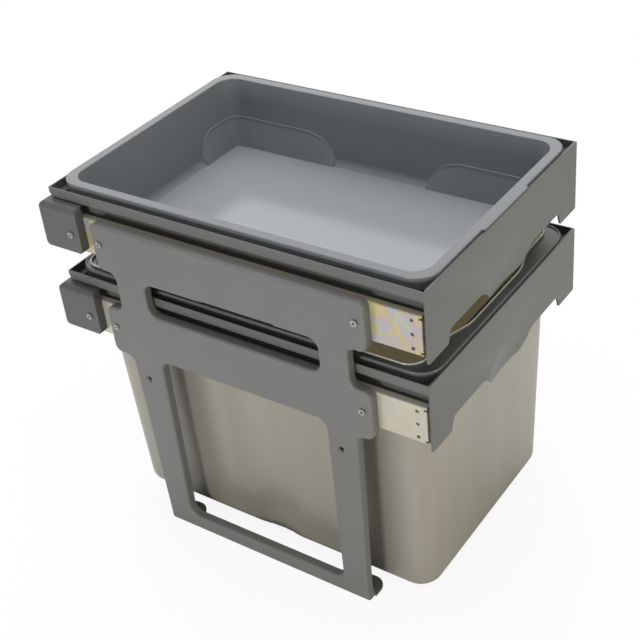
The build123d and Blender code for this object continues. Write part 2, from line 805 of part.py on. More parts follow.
# Lower bin: deep, with a collar, a raised inner lip, and hand grips low in the long walls
top = tiers["lower"]
band_top = top + lower_band_rise
band_bottom = band_top - rim_thickness
wall_top = (rim_rear_x + lower_rear_inset, rim_front_x - lower_front_inset, rim_half - lower_side_inset,
            lower_corner_radius)
wall_bottom = (wall_top[0] + lower_rear_draft, wall_top[1] - lower_front_draft, wall_top[2] - lower_side_draft,
               lower_bottom_corner_radius)
grip_x = (wall_bottom[0] + wall_bottom[1]) / 2 + grip_shift
grip_top = lower_floor_clearance + grip_height
grip_slope = lower_side_draft / (band_bottom - lower_floor_clearance)


def grip_tool(side, amount):
    """Makes the cutting form of a hand grip: arched in plan at the bottom, running out flat at its top."""
    grip_bottom = lower_floor_clearance - overrun
    half = grip_width / 2 + amount
    with BuildPart() as tool:
        for height, depth in ((grip_bottom, grip_depth), (grip_top, grip_top_depth)):
            wall_y = side * (wall_bottom[2] + (height - lower_floor_clearance) * grip_slope - amount)
            outer_y = side * (wall_top[2] + overrun)
            with BuildSketch(Plane.XY.offset(height)):
                with BuildLine():
                    Polyline((grip_x - half, wall_y), (grip_x - half, outer_y), (grip_x + half, outer_y),
                             (grip_x + half, wall_y))
                    ThreePointArc((grip_x + half, wall_y), (grip_x, wall_y - side * depth), (grip_x - half, wall_y))
                make_face()
        loft(ruled=True)
    return tool.part


def lower_form(amount):
    """Makes the lower bin's tapered solid, smaller by an amount, with both hand grips pressed in."""
    plain = tub(inset_section(wall_top, amount), inset_section(wall_bottom, amount), band_bottom,
                lower_floor_clearance + amount, lower_bottom_radius - amount)
    grips = [grip_tool(side, amount) for side in sides.values()]
    with BuildPart() as form:
        add(plain)
        add(grips, mode=Mode.SUBTRACT)
    return form.part


def lip_area(amount, height):
    """Sketches the area inside the raised lip, smaller by an amount, with its bulge at the front."""
    rear = rim_rear_x + lower_lip_rear_inset + amount
    front = rim_front_x - lower_lip_front_inset - amount
    half = rim_half - lower_lip_side_inset - amount
    near_points = [
        (rear, -half, lip_corner_radius),
        (front, -half, lip_corner_radius),
        (front, -lower_lip_bulge_half_width - lower_lip_ramp, lip_ramp_radius),
        (front + lower_lip_bulge, -lower_lip_bulge_half_width, lip_ramp_radius),
    ]
    points = near_points + [(x_place, -y_place, radius) for x_place, y_place, radius in reversed(near_points)]
    with BuildSketch(Plane.XY.offset(height)) as area:
        with BuildLine():
            FilletPolyline(*[(x_place, y_place) for x_place, y_place, _ in points],
                           radius=[radius for _, _, radius in points], close=True)
        make_face()
    return area.sketch


lower_outside = lower_form(0)
lower_inside = lower_form(bin_wall)
lower_skirt = ring(top - ledge_drop, top + lower_bead_rise, skirt_thickness)
lower_bead = ring(band_bottom, top + lower_bead_rise, lower_bead_width)
lip_outside = lip_area(0, band_top)
lip_inside = lip_area(lower_lip_thickness, band_top)
collar_hole = lip_area(lower_lip_thickness + lower_collar_step, band_bottom)

with BuildPart() as lower_bin:
    add(lower_skirt)
    add(lower_bead)
    with BuildSketch(Plane.XY.offset(band_bottom)):
        rounded_area(rim_section)
    extrude(amount=rim_thickness)
    extrude(lip_outside, amount=lower_lip_rise - lower_band_rise)
    add(lower_outside)
    add(lower_inside, mode=Mode.SUBTRACT)
    extrude(lip_inside, amount=lower_lip_rise - lower_band_rise, mode=Mode.SUBTRACT)
    with BuildSketch(Plane.XY.offset(band_bottom)):
        add(collar_hole)
        rounded_area(inset_section(wall_top, bin_wall), Mode.INTERSECT)
    extrude(amount=rim_thickness, mode=Mode.SUBTRACT)
save(lower_bin.part, "lower_bin")
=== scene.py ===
"""Pull-out bin frame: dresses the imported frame, builds the two bins as surfaces, and sets up the studio."""

import json
import logging
from dataclasses import dataclass, replace
from enum import Enum, IntEnum
from math import cos, pi, radians, sin
from typing import Dict, List, Sequence, Tuple

import bpy
import numpy as np
from mathutils import Matrix, Vector

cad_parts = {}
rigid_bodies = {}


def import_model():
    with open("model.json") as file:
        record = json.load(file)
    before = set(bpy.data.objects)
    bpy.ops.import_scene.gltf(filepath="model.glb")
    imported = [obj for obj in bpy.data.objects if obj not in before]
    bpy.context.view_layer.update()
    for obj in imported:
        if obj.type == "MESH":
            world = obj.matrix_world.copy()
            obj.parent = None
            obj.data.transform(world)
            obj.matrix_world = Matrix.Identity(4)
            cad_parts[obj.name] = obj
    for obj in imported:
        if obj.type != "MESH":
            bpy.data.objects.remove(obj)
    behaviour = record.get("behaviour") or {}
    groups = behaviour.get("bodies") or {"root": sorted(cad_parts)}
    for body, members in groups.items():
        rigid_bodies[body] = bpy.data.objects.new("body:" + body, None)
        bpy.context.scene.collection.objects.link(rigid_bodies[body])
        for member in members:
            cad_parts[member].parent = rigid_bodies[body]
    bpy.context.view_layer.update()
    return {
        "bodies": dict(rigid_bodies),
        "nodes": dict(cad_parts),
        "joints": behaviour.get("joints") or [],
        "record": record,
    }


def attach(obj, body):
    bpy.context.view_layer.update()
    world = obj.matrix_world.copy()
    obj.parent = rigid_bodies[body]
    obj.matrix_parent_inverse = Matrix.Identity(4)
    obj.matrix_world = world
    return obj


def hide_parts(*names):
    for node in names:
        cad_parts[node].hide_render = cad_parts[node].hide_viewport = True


log = logging.getLogger("bin_frame")

Colour = Tuple[float, float, float]
Point = Tuple[float, float, float]
MM = 0.001
WHITE: Colour = (1.0, 1.0, 1.0)


class Tier(Enum):
    """The two drawers of the unit."""

    UPPER = "upper"
    LOWER = "lower"


class Side(Enum):
    """The two sides of the unit, with the sign of their Y places."""

    NEAR = -1
    FAR = 1

    @property
    def word(self) -> str:
        """Name of the side as the frame's nodes use it."""
        return self.name.lower()


# ---- Shader building ----

NOISE_MIDDLE = 0.5
SHADE_SCALE = 9.0
SHADE_DETAIL = 3.0
GRAIN_DETAIL = 2.0
STREAK_SQUEEZE = (1.0, 1.0, 0.02)
STREAK_DETAIL = 4.0
BAND_SCALE = 11.0
BAND_DETAIL = 1.0
GRAIN_HEIGHT = 0.2


def add_node(tree: bpy.types.NodeTree, kind: str, **settings: object) -> bpy.types.Node:
    """Adds a node and sets its properties.

    Args:
        tree: Node tree that receives the node.
        kind: Blender's identifier of the node type.
        **settings: Properties of the node.

    Returns:
        The new node.
    """
    node = tree.nodes.new(kind)
    for name, value in settings.items():
        setattr(node, name, value)
    return node


def new_group(name: str, inputs: Dict[str, float], outputs: Dict[str, str]) -> bpy.types.NodeTree:
    """Makes an empty shader node group with named sockets.

    Args:
        name: Name of the group.
        inputs: Name and default of each number input.
        outputs: Name and socket type of each output.

    Returns:
        The new node group, holding its Group Input and Group Output.
    """
    group = bpy.data.node_groups.new(name, "ShaderNodeTree")
    for label, default in inputs.items():
        socket = group.interface.new_socket(label, in_out="INPUT", socket_type="NodeSocketFloat")
        socket.default_value = default
    for label, socket_type in outputs.items():
        group.interface.new_socket(label, in_out="OUTPUT", socket_type=socket_type)
    group.nodes.new("NodeGroupInput").name = "in"
    group.nodes.new("NodeGroupOutput").name = "out"
    return group


def add_noise(tree: bpy.types.NodeTree, place: bpy.types.NodeSocket, scale: float,
              detail: float) -> bpy.types.Node:
    """Adds a noise texture.

    Args:
        tree: Node tree that receives the node.
        place: Socket that gives the place to look up.
        scale: Scale of the noise.
        detail: Its detail.

    Returns:
        The noise node.
    """
    noise = add_node(tree, "ShaderNodeTexNoise")
    noise.inputs["Scale"].default_value = scale
    noise.inputs["Detail"].default_value = detail
    tree.links.new(place, noise.inputs["Vector"])
    return noise


def swing(tree: bpy.types.NodeTree, noise: bpy.types.Node,
          strength: bpy.types.NodeSocket) -> bpy.types.NodeSocket:
    """Turns noise into a shade about one: 1 + strength * (noise - NOISE_MIDDLE).

    Args:
        tree: Node tree that receives the nodes.
        noise: Noise node.
        strength: Socket that gives the strength.

    Returns:
        The shade's output socket.
    """
    shift = add_node(tree, "ShaderNodeMath", operation="SUBTRACT")
    shift.inputs[1].default_value = NOISE_MIDDLE
    spread = add_node(tree, "ShaderNodeMath", operation="MULTIPLY_ADD")
    spread.inputs[2].default_value = 1.0
    tree.links.new(noise.outputs["Fac"], shift.inputs[0])
    tree.links.new(shift.outputs[0], spread.inputs[0])
    tree.links.new(strength, spread.inputs[1])
    return spread.outputs[0]


def grain_group() -> bpy.types.NodeTree:
    """Fine surface grain: a height for bump and a faint shade, both from noise on object coordinates.

    Returns:
        The node group, with the inputs Scale and Contrast and the outputs Height and Shade.
    """
    group = bpy.data.node_groups.get("surface grain")
    if group:
        return group
    group = new_group("surface grain", {"Scale": 900.0, "Contrast": 0.1},
                      {"Height": "NodeSocketFloat", "Shade": "NodeSocketFloat"})
    given, out = group.nodes["in"].outputs, group.nodes["out"].inputs
    place = add_node(group, "ShaderNodeTexCoord").outputs["Object"]
    fine = add_noise(group, place, SHADE_SCALE, GRAIN_DETAIL)
    broad = add_noise(group, place, SHADE_SCALE, SHADE_DETAIL)
    group.links.new(given["Scale"], fine.inputs["Scale"])
    group.links.new(fine.outputs["Fac"], out["Height"])
    group.links.new(swing(group, broad, given["Contrast"]), out["Shade"])
    return group


def streak_group() -> bpy.types.NodeTree:
    """Brushed streaks that run up and down, under broad soft stripes of painted sheen: noise on coordinates
    squeezed along Z.

    Returns:
        The node group, with the inputs Density, Contrast and Bands and the outputs Height and Shade.
    """
    group = bpy.data.node_groups.get("upright streaks")
    if group:
        return group
    group = new_group("upright streaks", {"Density": 60.0, "Contrast": 0.15, "Bands": 0.4},
                      {"Height": "NodeSocketFloat", "Shade": "NodeSocketFloat"})
    given, out = group.nodes["in"].outputs, group.nodes["out"].inputs
    place = add_node(group, "ShaderNodeTexCoord").outputs["Object"]
    squeeze = add_node(group, "ShaderNodeVectorMath", operation="MULTIPLY")
    squeeze.inputs[1].default_value = STREAK_SQUEEZE
    group.links.new(place, squeeze.inputs[0])
    fine = add_noise(group, squeeze.outputs[0], BAND_SCALE, STREAK_DETAIL)
    # The broad noise is painted sheen: soft upright stripes of light and shade, as satin metal reflects.
    broad = add_noise(group, squeeze.outputs[0], BAND_SCALE, BAND_DETAIL)
    group.links.new(given["Density"], fine.inputs["Scale"])
    group.links.new(fine.outputs["Fac"], out["Height"])
    both = add_node(group, "ShaderNodeMath", operation="MULTIPLY")
    group.links.new(swing(group, fine, given["Contrast"]), both.inputs[0])
    group.links.new(swing(group, broad, given["Bands"]), both.inputs[1])
    group.links.new(both.outputs[0], out["Shade"])
    return group


def place_group(tree: bpy.types.NodeTree, group: bpy.types.NodeTree, **values: float) -> bpy.types.Node:
    """Places a node group in a material with its own values.

    Args:
        tree: Node tree of the material.
        group: Node group to place.
        **values: Values of the group's number inputs.

    Returns:
        The group node.
    """
    node = add_node(tree, "ShaderNodeGroup", node_tree=group)
    for name, value in values.items():
        node.inputs[name].default_value = value
    return node


@dataclass(frozen=True)
class Finish:
    """A plain finish: one colour, shaded and roughened by fine grain."""

    name: str
    colour: Colour
    roughness: float = 0.5
    metallic: float = 0.0
    specular: float = 0.5
    grain_scale: float = 900.0
    grain_depth: float = 0.1
    contrast: float = 0.12
    # glow: emission of the finish's own colour, painted light that lifts parts lying in shade
    glow: float = 0.0

    def material(self) -> bpy.types.Material:
        """Builds the material, or gives the one built before.

        Returns:
            The material.
        """
        found = bpy.data.materials.get(self.name)
        if found:
            return found
        material = bpy.data.materials.new(self.name)
        material.use_nodes = True
        tree = material.node_tree
        shader = tree.nodes["Principled BSDF"]
        shader.inputs["Roughness"].default_value = self.roughness
        shader.inputs["Metallic"].default_value = self.metallic
        shader.inputs["Specular IOR Level"].default_value = self.specular
        # Emission of the colour times glow: painted light.
        shader.inputs["Emission Color"].default_value = (*self.colour, 1.0)
        shader.inputs["Emission Strength"].default_value = self.glow
        self.paint(tree, shader)
        return material

    def paint(self, tree: bpy.types.NodeTree, shader: bpy.types.Node) -> None:
        """Wires the colour and the bump into the shader.

        Args:
            tree: Node tree of the material.
            shader: Its Principled BSDF.
        """
        grain = place_group(tree, grain_group(), Scale=self.grain_scale, Contrast=self.contrast)
        tint = self.scaled_colour(tree, grain.outputs["Shade"])
        tree.links.new(tint, shader.inputs["Base Color"])
        self.bump(tree, grain.outputs["Height"], shader)

    def scaled_colour(self, tree: bpy.types.NodeTree, shade: bpy.types.NodeSocket) -> bpy.types.NodeSocket:
        """Gives the finish's colour, made lighter and darker by a shade.

        Args:
            tree: Node tree of the material.
            shade: Factor that the colour is multiplied by.

        Returns:
            The colour's output socket.
        """
        scale = add_node(tree, "ShaderNodeVectorMath", operation="SCALE")
        scale.inputs[0].default_value = self.colour
        tree.links.new(shade, scale.inputs["Scale"])
        return scale.outputs[0]

    def bump(self, tree: bpy.types.NodeTree, height: bpy.types.NodeSocket, shader: bpy.types.Node) -> None:
        """Adds the grain's bump to the shader's normal.

        Args:
            tree: Node tree of the material.
            height: Height of the grain.
            shader: Shader that receives the normal.
        """
        bump = add_node(tree, "ShaderNodeBump")
        bump.inputs["Strength"].default_value = self.grain_depth
        bump.inputs["Distance"].default_value = GRAIN_HEIGHT * MM
        tree.links.new(height, bump.inputs["Height"])
        tree.links.new(bump.outputs["Normal"], shader.inputs["Normal"])


@dataclass(frozen=True)
class StreakedFinish(Finish):
    """A satin metallic finish with faint brushed streaks in it and broad painted sheen over them."""

    density: float = 60.0
    bands: float = 0.5

    def paint(self, tree: bpy.types.NodeTree, shader: bpy.types.Node) -> None:
        """Wires streaks in place of grain.

        Args:
            tree: Node tree of the material.
            shader: Its Principled BSDF.
        """
        streaks = place_group(tree, streak_group(), Density=self.density, Contrast=self.contrast,
                              Bands=self.bands)
        tree.links.new(self.scaled_colour(tree, streaks.outputs["Shade"]), shader.inputs["Base Color"])
        self.bump(tree, streaks.outputs["Height"], shader)


@dataclass(frozen=True)
class ZincFinish(Finish):
    """Zinc plating that turns between pale yellow, pink, green and blue in soft clouds."""

    clouds: Tuple[Colour, ...] = (
        (0.50, 0.45, 0.24), (0.48, 0.42, 0.20), (0.44, 0.36, 0.34), (0.37, 0.39, 0.44), (0.42, 0.45, 0.28),
        (0.50, 0.43, 0.24),
    )
    cloud_scale: float = 27.0
    cloud_detail: float = 2.0
    cloud_distortion: float = 0.6
    first_stop: float = 0.34
    stop_span: float = 0.32

    def paint(self, tree: bpy.types.NodeTree, shader: bpy.types.Node) -> None:
        """Wires a ramp of the cloud colours.

        Args:
            tree: Node tree of the material.
            shader: Its Principled BSDF.
        """
        place = add_node(tree, "ShaderNodeTexCoord")
        noise = add_noise(tree, place.outputs["Object"], self.cloud_scale, self.cloud_detail)
        noise.inputs["Distortion"].default_value = self.cloud_distortion
        ramp = add_node(tree, "ShaderNodeValToRGB")
        stops = ramp.color_ramp.elements
        while len(stops) < len(self.clouds):
            stops.new(NOISE_MIDDLE)
        for index, (stop, colour) in enumerate(zip(stops, self.clouds)):
            stop.position = self.first_stop + self.stop_span * index / (len(self.clouds) - 1)
            stop.color = (*colour, 1.0)
        grain = place_group(tree, grain_group(), Scale=self.grain_scale, Contrast=self.contrast)
        tint = self.scaled_colour(tree, grain.outputs["Shade"])
        tree.links.new(noise.outputs["Fac"], ramp.inputs["Fac"])
        tree.links.new(ramp.outputs["Color"], tint.node.inputs[0])
        tree.links.new(tint, shader.inputs["Base Color"])
        self.bump(tree, grain.outputs["Height"], shader)


POWDER_COAT = Finish("frame powder coat", (0.112, 0.114, 0.107), roughness=0.42, grain_depth=0.12)
MOULDING = Finish("stand moulding", (0.142, 0.145, 0.137), roughness=0.5, grain_depth=0.15)
# Same plastic as the stand moulding, made darker: painted shade, as the rear covers sit in shadow.
COVER_SHADED = Finish("cover moulding", (0.086, 0.088, 0.085), roughness=0.5, grain_depth=0.15)
BIN_GREY = Finish("upper bin plastic", (0.178, 0.188, 0.199), roughness=0.18, grain_depth=0.04,
                  contrast=0.06)
# Lighter and rougher copy of the rim's plastic: painted light that lifts the shaded inner walls and reliefs.
BIN_WALL_LIT = Finish("upper bin inner wall", (0.210, 0.224, 0.243), roughness=0.5, specular=0.2,
                  grain_depth=0.04)
# Lighter copy for the reliefs' rounded top edges: a painted highlight line.
BIN_EDGE_HIGHLIGHT = Finish("upper bin relief edge", (0.36, 0.375, 0.40), roughness=0.3, grain_depth=0.04)
# Much lighter copy of the rim's plastic: painted light, so the floor reads as bright as the rim.
BIN_FLOOR_LIT = Finish("upper bin floor", (0.325, 0.342, 0.362), roughness=0.15, grain_depth=0.03,
                   contrast=0.04)
BIN_SATIN = StreakedFinish("lower bin satin", (0.328, 0.311, 0.264), roughness=0.34, metallic=0.42,
                           grain_depth=0.03)
# Darker, browner copy of the satin colour, painted shade, that also glows: painted light inside the bin under
# the upper one.
BIN_INSIDE_SHADE_AND_GLOW = Finish("lower bin inside", (0.235, 0.20, 0.115), roughness=0.5, grain_depth=0.03, glow=0.3)
RIM_GREY = Finish("lower bin rim", (0.17, 0.172, 0.168), roughness=0.3, grain_depth=0.04)
# Both zincs have glow=0.1: painted light that lifts the slide strips lying in shadow. The clouds are the
# plating's own tints.
ZINC = ZincFinish("upper slide zinc", (0.30, 0.29, 0.24), roughness=0.3, metallic=0.45, grain_depth=0.05,
                  glow=0.1)
ZINC_PALE = ZincFinish(
    "lower slide zinc", (0.34, 0.33, 0.28), roughness=0.3, metallic=0.45, grain_depth=0.05, glow=0.1,
    clouds=((0.50, 0.47, 0.36), (0.48, 0.44, 0.38), (0.50, 0.48, 0.38), (0.46, 0.46, 0.42)),
)
# Pale glossy colour on the lip's round: a painted highlight along the lip.
LIP_HIGHLIGHT = Finish("lower bin lip", (0.75, 0.74, 0.66), roughness=0.2, metallic=0.2, grain_depth=0.04)
SCREW = Finish("screw zinc", (0.36, 0.36, 0.34), roughness=0.3, metallic=0.9, grain_depth=0.05)
BALL = Finish("ball steel", (0.7, 0.7, 0.7), roughness=0.15, metallic=1.0, grain_depth=0.0)
CAGE = Finish("cage steel", (0.5, 0.5, 0.48), roughness=0.35, metallic=0.9, grain_depth=0.05)
RUBBER = Finish("buffer rubber", (0.02, 0.02, 0.02), roughness=0.8, grain_depth=0.3)


# ---- Meshes ----

SMOOTH_TURN = radians(32)
CRISP_MARGIN = 0.2
WIDE_STRIP = 6 * CRISP_MARGIN
OUTWARDS, UPWARDS, INWARDS, DOWNWARDS = 0, 90, 180, -90
LEAST_CORNER = 0.5
LEAST_SHRUNK_CORNER = 0.2


def make_piece(name: str, places: np.ndarray, faces: Sequence[Sequence[int]]) -> bpy.types.Object:
    """Makes a mesh object, shaded smooth except where edges turn by more than SMOOTH_TURN.

    Args:
        name: Name of the piece.
        places: Vertex places in metres, one row each.
        faces: Vertex numbers of each face.

    Returns:
        The new object, at the origin.
    """
    mesh = bpy.data.meshes.new(name)
    mesh.from_pydata(places.tolist(), [], faces)
    mesh.update()
    mesh.shade_smooth()
    mesh.set_sharp_from_angle(angle=SMOOTH_TURN)
    piece = bpy.data.objects.new(name, mesh)
    bpy.context.scene.collection.objects.link(piece)
    return piece


def ring_faces(rings: int, count: int, start_pole: int, end_pole: int) -> List[List[int]]:
    """Faces of a grid of closed rings, with a fan to a pole before the first and after the last ring.

    Args:
        rings: Number of rings.
        count: Points in each ring.
        start_pole: Vertex number of the pole that closes the first ring.
        end_pole: Vertex number of the pole that closes the last ring.

    Returns:
        The vertex numbers of each face.
    """
    here = np.arange(count)
    after = (here + 1) % count
    base = (np.arange(rings - 1) * count)[:, None]
    quads = np.stack([base + here, base + count + here, base + count + after, base + after], axis=-1)
    last = (rings - 1) * count
    start_fan = np.stack([np.full(count, start_pole), here, after], axis=-1)
    end_fan = np.stack([np.full(count, end_pole), last + after, last + here], axis=-1)
    return quads.reshape(-1, 4).tolist() + start_fan.tolist() + end_fan.tolist()


def crisp(loops: np.ndarray) -> np.ndarray:
    """Adds a loop close to both ends of every wide strip, so that the shading turns only at the rounds.

    Between the loops A and B, w apart, the new loops are A + (m / w) (B - A) and B - (m / w) (B - A), where
    m is CRISP_MARGIN.

    Args:
        loops: Points as an array of loops, of points in each loop, and of X, Y and Z.

    Returns:
        The loops with the new ones between them.
    """
    kept = [loops[:1]]
    for here, after in zip(loops, loops[1:]):
        width = np.linalg.norm(after - here, axis=-1).max()
        step = (after - here) * CRISP_MARGIN / max(width, CRISP_MARGIN)
        added = [here + step, after - step] if width > WIDE_STRIP else []
        kept.append(np.stack([*added, after]))
    return np.concatenate(kept)


def closed_loops(name: str, grid: np.ndarray) -> bpy.types.Object:
    """Makes a closed piece from loops of points, in millimetres, with a pole at each end.

    Args:
        name: Name of the piece.
        grid: Points as an array of loops, of points in each loop, and of X, Y and Z.

    Returns:
        The new object.
    """
    rings, count = grid.shape[:2]
    poles = np.stack([grid[0].mean(axis=0), grid[-1].mean(axis=0)])
    places = np.concatenate([grid.reshape(-1, 3), poles]) * MM
    total = rings * count
    return make_piece(name, places, ring_faces(rings, count, total, total + 1))


@dataclass(frozen=True)
class Ring:
    """One level of a bin: a rounded rectangle in plan, in millimetres, at one height.

    The front side may bulge by `bulge` in its middle, with a smooth ramp to each side.
    """

    rear: float
    front: float
    half: float
    corner: float
    height: float
    bulge: float = 0.0

    def inset(self, amount: float) -> "Ring":
        """A ring that is smaller by the same amount all round."""
        corner = max(self.corner - amount, LEAST_CORNER)
        return replace(self, rear=self.rear + amount, front=self.front - amount, half=self.half - amount,
                       corner=corner)

    def at(self, height: float) -> "Ring":
        """The same ring at another height."""
        return replace(self, height=height)

    def toward(self, other: "Ring", share: float) -> "Ring":
        """A ring part of the way to another one, without a bulge.

        Args:
            other: The ring at the far end.
            share: How far to go, from 0 to 1.

        Returns:
            The ring between.
        """
        own = np.array([self.rear, self.front, self.half, self.corner, self.height])
        end = np.array([other.rear, other.front, other.half, other.corner, other.height])
        return Ring(*(own + share * (end - own)))

    def level(self, other: "Ring", height: float) -> "Ring":
        """The ring at a height on the tapered wall between this ring and another one."""
        return self.toward(other, (height - self.height) / (other.height - self.height))

    def shrunk(self, share: float) -> "Ring":
        """A ring at the same height, scaled about its own centre, without a bulge.

        Args:
            share: Its size against this ring's.

        Returns:
            The smaller ring.
        """
        middle = (self.rear + self.front) / 2
        reach = (self.front - self.rear) / 2 * share
        corner = max(self.corner * share, LEAST_SHRUNK_CORNER)
        return Ring(middle - reach, middle + reach, self.half * share, corner, self.height)

    def edge(self, radius: float, first: float, last: float, steps: int = 4) -> List["Ring"]:
        """Rings round a small edge whose circle is centred on this ring.

        At angle t the ring is wider by radius * cos(t) and higher by radius * sin(t).

        Args:
            radius: Radius of the round in millimetres.
            first: Angle of the first ring in degrees: OUTWARDS, UPWARDS, INWARDS, DOWNWARDS or between.
            last: Angle of the last ring.
            steps: Number of rings.

        Returns:
            The rings in order.
        """
        angles = np.radians(np.linspace(first, last, steps))
        return [self.inset(-radius * cos(turn)).at(self.height + radius * sin(turn)) for turn in angles]


@dataclass
class RingGrid:
    """Turns rings into loops with the same number of points, which stand at the same places of each side."""

    corner_steps: int = 12
    side_steps: Tuple[int, ...] = (40,)
    side_marks: Tuple[float, ...] = ()
    end_steps: int = 44
    bulge_half: float = 48.0
    bulge_ramp: float = 45.0

    def long_run(self, start: float, end: float) -> np.ndarray:
        """X places between two corners, with a point at each mark.

        Args:
            start: X where the run leaves a corner.
            end: X where it meets the next one.

        Returns:
            The X places strictly between them.
        """
        marks = list(self.side_marks) if start < end else list(reversed(self.side_marks))
        steps = self.side_steps if start < end else tuple(reversed(self.side_steps))
        stops = [start, *marks, end]
        runs = [np.linspace(a, b, count + 1)[1:] for a, b, count in zip(stops, stops[1:], steps)]
        return np.concatenate(runs)[:-1]

    def outline(self, ring: Ring) -> np.ndarray:
        """Points of one ring, anticlockwise from above, from the front end of the far side.

        A corner is (cx + r cos t, cy + r sin t) over a quarter turn of t; a side is straight, and the front
        one is moved out by bulge * s * s * (3 - 2 s), where s falls from 1 to 0 along the ramp.

        Args:
            ring: The ring's sizes.

        Returns:
            An array of X, Y and Z rows.
        """
        turn = np.linspace(0, pi / 2, self.corner_steps + 1)
        arc = ring.corner * np.stack([np.cos(turn), np.sin(turn)], axis=-1)
        front, rear, half = ring.front - ring.corner, ring.rear + ring.corner, ring.half - ring.corner
        share = np.linspace(half, -half, self.end_steps + 1)[1:-1]
        far = self.long_run(front, rear)
        near = self.long_run(rear, front)
        plan = np.concatenate([
            (front, half) + arc,
            np.stack([far, np.full_like(far, ring.half)], axis=-1),
            (rear, half) + arc[::-1] * (-1, 1),
            np.stack([np.full_like(share, ring.rear), share], axis=-1),
            (rear, -half) - arc,
            np.stack([near, np.full_like(near, -ring.half)], axis=-1),
            (front, -half) + arc[::-1] * (1, -1),
            np.stack([np.full_like(share, ring.front), -share], axis=-1),
        ])
        ramp = np.clip((self.bulge_half + self.bulge_ramp - np.abs(plan[:, 1])) / self.bulge_ramp, 0, 1)
        plan[:, 0] += ring.bulge * ramp * ramp * (3 - 2 * ramp) * (plan[:, 0] > 0)
        return np.column_stack([plan, np.full(len(plan), ring.height)])

    def loops(self, rings: Sequence[Ring]) -> np.ndarray:
        """Loops of all rings, stacked."""
        return np.stack([self.outline(ring) for ring in rings])


# ---- The two bins ----

FLOOR_SHARES = (0.02, 0.35, 0.7, 0.9)
FLOOR_EDGE_LOOPS = 9
WALL_LOOPS = 12
BEAD_LOOPS = 7


class UpperFace(IntEnum):
    """Material slots of the upper bin's shell."""

    OUTSIDE = 0
    WALL = 1
    FLOOR = 2


class LowerFace(IntEnum):
    """Material slots of the lower bin's shell."""

    OUTSIDE = 0
    INSIDE = 1
    COLLAR = 2
    LIP_HIGHLIGHT = 3


@dataclass
class Bin:
    """What both bins share: a rim that hangs in the drawer frame, and a tapered tub below it."""

    name: str
    body: str
    slot: str
    finish: Finish
    rim: Ring
    wall_top: Ring
    wall_bottom: Ring
    wall: float
    bottom_radius: float
    rim_thickness: float = 2.0
    skirt: float = 1.8
    skirt_bottom: float = 417.5
    skirt_round: float = 0.4

    @property
    def skirt_foot(self) -> float:
        """Height where the skirt's walls end and its rounded foot starts."""
        return self.skirt_bottom + self.skirt_round

    def wall_rings(self, amount: float, foot: float, radius: float, top: float) -> List[Ring]:
        """Rings from the middle of a floor, round its edge, and up the wall.

        Args:
            amount: How far inside the outer wall the surface lies.
            foot: Height of the floor.
            radius: Radius of the floor's edge.
            top: Height where the wall ends.

        Returns:
            The rings in order.
        """
        low = self.wall_bottom.inset(amount).at(foot)
        high = self.wall_top.inset(amount)
        rings = [low.inset(radius).shrunk(share) for share in FLOOR_SHARES]
        for turn in np.radians(np.linspace(DOWNWARDS, OUTWARDS, FLOOR_EDGE_LOOPS)):
            height = foot + radius + radius * sin(turn)
            rings.append(low.level(high, height).inset(radius - radius * cos(turn)))
        return rings + [low.level(high, height) for height in np.linspace(foot + radius, top, WALL_LOOPS)[1:]]

    def place(self, piece: bpy.types.Object, finish: Finish) -> None:
        """Puts a finish on a piece, and lets it ride with the bin's body.

        Args:
            piece: The piece.
            finish: Its first finish.
        """
        piece.data.materials.append(finish.material())
        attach(piece, self.body)
        log.info("%s: %s, rides on %s", piece.name, finish.name, self.body)


